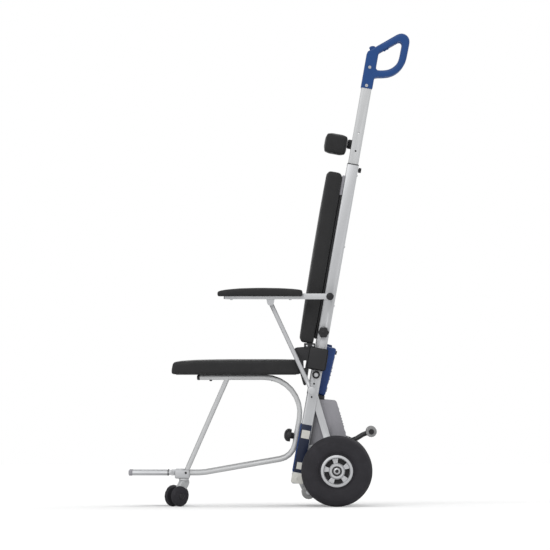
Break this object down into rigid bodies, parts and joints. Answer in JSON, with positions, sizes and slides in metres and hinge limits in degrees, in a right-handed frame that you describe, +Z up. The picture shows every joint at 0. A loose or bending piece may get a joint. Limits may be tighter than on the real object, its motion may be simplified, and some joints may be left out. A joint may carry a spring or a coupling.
{
  "type": "stair climbing wheelchair",
  "caption": "Upright seat on a leaning double column with telescopic push handles, folding armrests and footplate, and main wheels on a motor-driven climbing crank",
  "frame": {"origin": "on the floor, in the middle of the footprint", "axes": "+Z up, the chair faces -X, the sitter's left is -Y; metres"},
  "size_m": [1.0247, 0.5826, 1.7272],
  "materials": {
    "anodised_tube": "clear anodised",
    "battery_blue": "fine grained moulding",
    "black_plastic": "fine grained moulding",
    "black_upholstery": "stitched vinyl over foam",
    "blue_plastic": "fine grained moulding",
    "bright_steel": "bright",
    "grey_housing": "moulded",
    "grey_roller": "matt",
    "satin_aluminium": "satin, seat rails and clear-coated plates",
    "tyre_rubber": "matt"
  },
  "bodies": {
    "frame": {"column_L": "satin_aluminium", "column_R": "satin_aluminium", "head_crossbar": "satin_aluminium", "backrest_board": "black_plastic", "backrest_pad": "black_upholstery", "armrest_cross_tube": "bright_steel", "side_frame_L": "satin_aluminium", "side_frame_R": "satin_aluminium", "hinge_cover_L": "black_plastic", "hinge_cover_R": "black_plastic", "battery_cradle": "black_plastic", "drive_hood": "grey_housing", "drive_motor": "black_plastic", "support_axle": "bright_steel", "roller_yoke": "black_plastic", "seat_frame_L": "anodised_tube", "seat_frame_R": "anodised_tube", "seat_pad": "black_upholstery", "seat_board": "black_plastic", "foot_clamp_L": "satin_aluminium", "foot_clamp_R": "satin_aluminium"},
    "headrest": {"headrest_post": "black_plastic", "headrest_pad": "black_upholstery"},
    "battery": {"battery_pack": "battery_blue"},
    "crank": {"crank_gear": "bright_steel", "crank_shaft": "bright_steel", "crank_arm_L": "bright_steel", "crank_arm_R": "bright_steel"},
    "pinion": {"motor_pinion": "bright_steel"},
    "footplate": {"footplate": "satin_aluminium"},
    "trigger": {"drive_trigger": "blue_plastic"},
    "rocker": {"mode_rocker": "blue_plastic"},
    "handle_left": {"handle_tube_L": "anodised_tube", "handle_L": "blue_plastic"},
    "armrest_left": {"armrest_bar_L": "satin_aluminium", "armrest_pad_L": "black_upholstery"},
    "strut_left": {"armrest_strut_L": "satin_aluminium"},
    "column_knob_left": {"column_knob_L": "black_plastic"},
    "frame_knob_left": {"frame_knob_L": "black_plastic"},
    "wheel_left": {"tyre_L": "tyre_rubber", "rim_L": "satin_aluminium"},
    "support_roller_left": {"support_roller_L": "grey_roller"},
    "transport_roller_left": {"transport_roller_L": "grey_roller"},
    "caster_left": {"caster_fork_L": "anodised_tube"},
    "caster_wheel_left_near": {"caster_wheel_L_near": "tyre_rubber"},
    "caster_wheel_left_far": {"caster_wheel_L_far": "tyre_rubber"},
    "handle_right": {"handle_tube_R": "anodised_tube", "handle_R": "blue_plastic"},
    "armrest_right": {"armrest_bar_R": "satin_aluminium", "armrest_pad_R": "black_upholstery"},
    "strut_right": {"armrest_strut_R": "satin_aluminium"},
    "column_knob_right": {"column_knob_R": "black_plastic"},
    "frame_knob_right": {"frame_knob_R": "black_plastic"},
    "wheel_right": {"tyre_R": "tyre_rubber", "rim_R": "satin_aluminium"},
    "support_roller_right": {"support_roller_R": "grey_roller"},
    "transport_roller_right": {"transport_roller_R": "grey_roller"},
    "caster_right": {"caster_fork_R": "anodised_tube"},
    "caster_wheel_right_near": {"caster_wheel_R_near": "tyre_rubber"},
    "caster_wheel_right_far": {"caster_wheel_R_far": "tyre_rubber"}
  },
  "joints": [
    {"name": "headrest_slide", "type": "slide", "parent": "frame", "child": "headrest", "axis": [0.1736, 0, 0.9848], "range_m": [-0.04, 0.06]},
    {"name": "battery_lift", "type": "slide", "parent": "frame", "child": "battery", "axis": [0.2402, 0, 0.9707], "range_m": [0, 0.12]},
    {"name": "climb_crank", "type": "hinge", "parent": "frame", "child": "crank", "pos_m": [0.21817, 0, 0.22593], "axis": [0, 1, 0], "continuous": true},
    {"name": "pinion_spin", "type": "hinge", "parent": "frame", "child": "pinion", "pos_m": [0.19699, 0, 0.29788], "axis": [0, 1, 0], "continuous": true},
    {"name": "footplate_fold", "type": "hinge", "parent": "frame", "child": "footplate", "pos_m": [-0.3551, 0, 0.1224], "axis": [0, 1, 0], "range_deg": [0, 85]},
    {"name": "trigger_press", "type": "slide", "parent": "handle_left", "child": "trigger", "axis": [-0.497, 0, 0.8678], "range_m": [0, 0.004], "stiffness_N_per_m": 800},
    {"name": "rocker_tilt", "type": "hinge", "parent": "handle_left", "child": "rocker", "pos_m": [0.37743, -0.15, 1.67139], "axis": [0, 1, 0], "range_deg": [-8, 8], "stiffness_Nm_per_rad": 0.2},
    {"name": "handle_slide_left", "type": "slide", "parent": "frame", "child": "handle_left", "axis": [0.1736, 0, 0.9848], "range_m": [-0.26, 0]},
    {"name": "armrest_fold_left", "type": "hinge", "parent": "frame", "child": "armrest_left", "pos_m": [0.22141, -0.24, 0.7668], "axis": [0, 1, 0], "range_deg": [0, 97]},
    {"name": "strut_swing_left", "type": "hinge", "parent": "armrest_left", "child": "strut_left", "pos_m": [0.0045, -0.2313, 0.7441], "axis": [0, 1, 0], "range_deg": [-59, 0]},
    {"name": "column_knob_turn_left", "type": "hinge", "parent": "frame", "child": "column_knob_left", "pos_m": [0.19824, -0.15, 0.6354], "axis": [0, -1, 0], "continuous": true},
    {"name": "frame_knob_turn_left", "type": "hinge", "parent": "frame", "child": "frame_knob_left", "pos_m": [0.08894, -0.15, 0.25626], "axis": [-0.9848, 0, 0.1736], "continuous": true},
    {"name": "wheel_spin_left", "type": "hinge", "parent": "crank", "child": "wheel_left", "pos_m": [0.2464, -0.252, 0.13], "axis": [0, 1, 0], "continuous": true},
    {"name": "support_roller_spin_left", "type": "hinge", "parent": "frame", "child": "support_roller_left", "pos_m": [0.1436, -0.1433, 0.0524], "axis": [0, 1, 0], "continuous": true},
    {"name": "transport_roller_spin_left", "type": "hinge", "parent": "frame", "child": "transport_roller_left", "pos_m": [0.373, -0.0863, 0.2724], "axis": [0, 1, 0], "continuous": true},
    {"name": "caster_swivel_left", "type": "hinge", "parent": "frame", "child": "caster_left", "pos_m": [-0.3121, -0.15, 0.1], "axis": [0, 0, 1], "continuous": true},
    {"name": "caster_wheel_spin_left_near", "type": "hinge", "parent": "caster_left", "child": "caster_wheel_left_near", "pos_m": [-0.33861, -0.17224, 0.0375], "axis": [-0.6428, 0.766, 0], "continuous": true},
    {"name": "caster_wheel_spin_left_far", "type": "hinge", "parent": "caster_left", "child": "caster_wheel_left_far", "pos_m": [-0.33861, -0.17224, 0.0375], "axis": [-0.6428, 0.766, 0], "continuous": true},
    {"name": "handle_slide_right", "type": "slide", "parent": "frame", "child": "handle_right", "axis": [0.1736, 0, 0.9848], "range_m": [-0.26, 0]},
    {"name": "armrest_fold_right", "type": "hinge", "parent": "frame", "child": "armrest_right", "pos_m": [0.22141, 0.24, 0.7668], "axis": [0, 1, 0], "range_deg": [0, 97]},
    {"name": "strut_swing_right", "type": "hinge", "parent": "armrest_right", "child": "strut_right", "pos_m": [0.0045, 0.2313, 0.7441], "axis": [0, 1, 0], "range_deg": [-59, 0]},
    {"name": "column_knob_turn_right", "type": "hinge", "parent": "frame", "child": "column_knob_right", "pos_m": [0.19824, 0.15, 0.6354], "axis": [0, 1, 0], "continuous": true},
    {"name": "frame_knob_turn_right", "type": "hinge", "parent": "frame", "child": "frame_knob_right", "pos_m": [0.08894, 0.15, 0.25626], "axis": [-0.9848, 0, 0.1736], "continuous": true},
    {"name": "wheel_spin_right", "type": "hinge", "parent": "crank", "child": "wheel_right", "pos_m": [0.2464, 0.252, 0.13], "axis": [0, 1, 0], "continuous": true},
    {"name": "support_roller_spin_right", "type": "hinge", "parent": "frame", "child": "support_roller_right", "pos_m": [0.1436, 0.1433, 0.0524], "axis": [0, 1, 0], "continuous": true},
    {"name": "transport_roller_spin_right", "type": "hinge", "parent": "frame", "child": "transport_roller_right", "pos_m": [0.373, 0.0863, 0.2724], "axis": [0, 1, 0], "continuous": true},
    {"name": "caster_swivel_right", "type": "hinge", "parent": "frame", "child": "caster_right", "pos_m": [-0.3121, 0.15, 0.1], "axis": [0, 0, 1], "continuous": true},
    {"name": "caster_wheel_spin_right_near", "type": "hinge", "parent": "caster_right", "child": "caster_wheel_right_near", "pos_m": [-0.33861, 0.12776, 0.0375], "axis": [-0.6428, 0.766, 0], "continuous": true},
    {"name": "caster_wheel_spin_right_far", "type": "hinge", "parent": "caster_right", "child": "caster_wheel_right_far", "pos_m": [-0.33861, 0.12776, 0.0375], "axis": [-0.6428, 0.766, 0], "continuous": true}
  ],
  "couplings": [
    {"joint": "pinion_spin", "follows": "climb_crank", "ratio": -4},
    {"joint": "strut_swing_left", "follows": "armrest_fold_left", "ratio": -0.6},
    {"joint": "strut_swing_right", "follows": "armrest_fold_right", "ratio": -0.6}
  ]
}
